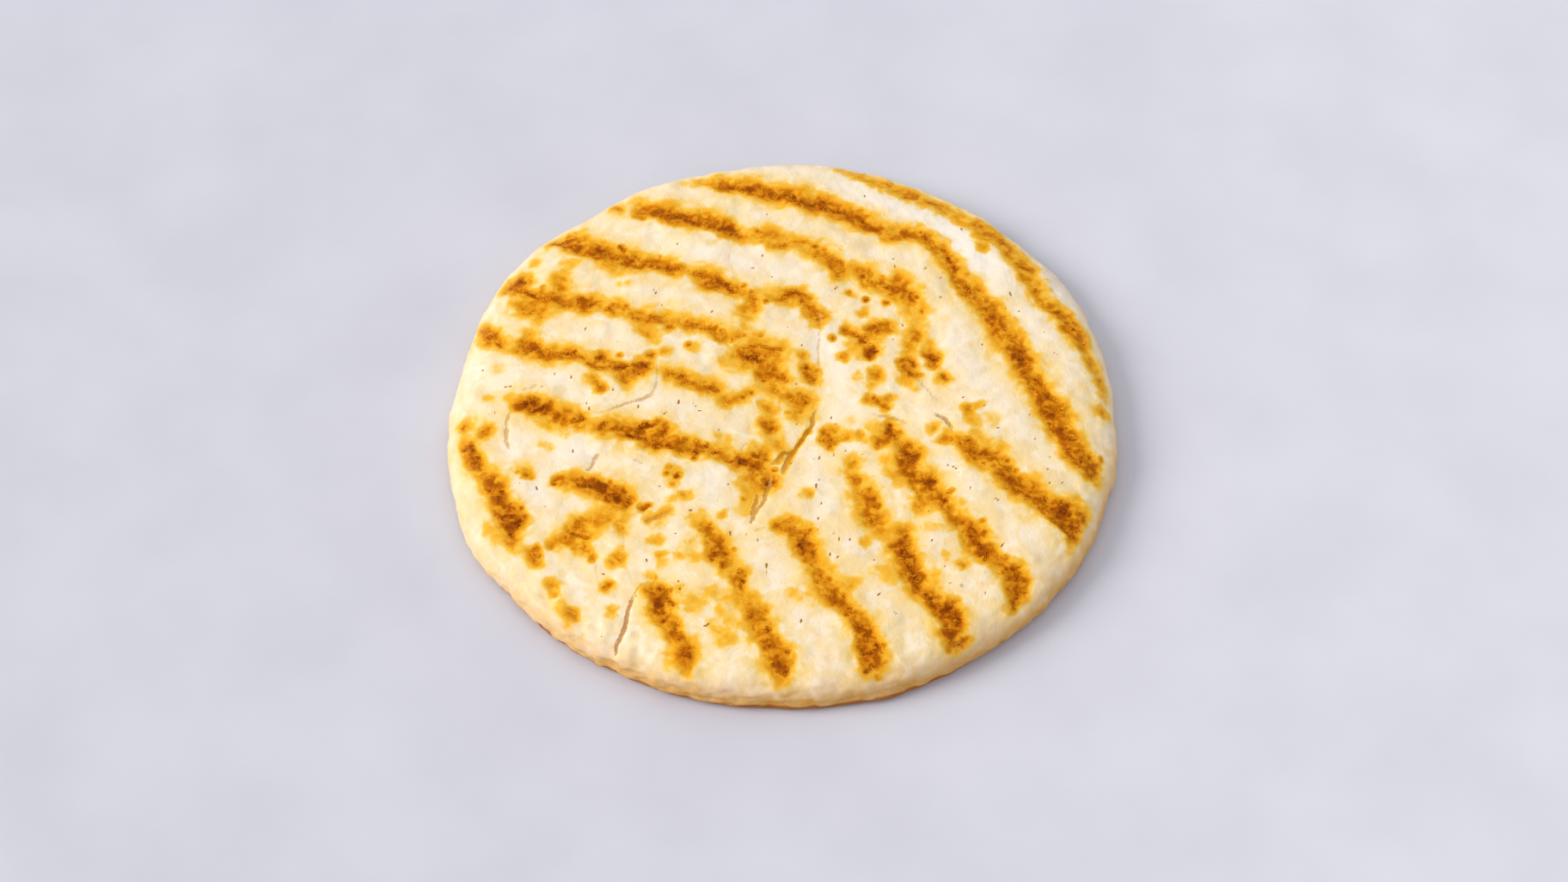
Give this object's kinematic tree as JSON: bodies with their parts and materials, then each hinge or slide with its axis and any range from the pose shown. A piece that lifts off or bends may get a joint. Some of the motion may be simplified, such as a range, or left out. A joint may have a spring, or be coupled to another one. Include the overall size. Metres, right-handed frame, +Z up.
{
  "type": "pita bread",
  "caption": "Flat round pocketless pita loaf with a rounded rim, low crown and grill-marked crust, resting on its flat underside.",
  "frame": {"origin": "on the underside, at the middle of the loaf's plan", "axes": "+Z up through the loaf's thickness, +X to the right and +Y to the back as the loaf is seen from the front"},
  "size_m": [0.1708, 0.1712, 0.012],
  "materials": {
    "crust": "matte"
  },
  "bodies": {
    "root": {"pita_bread": "crust"}
  },
  "joints": []
}
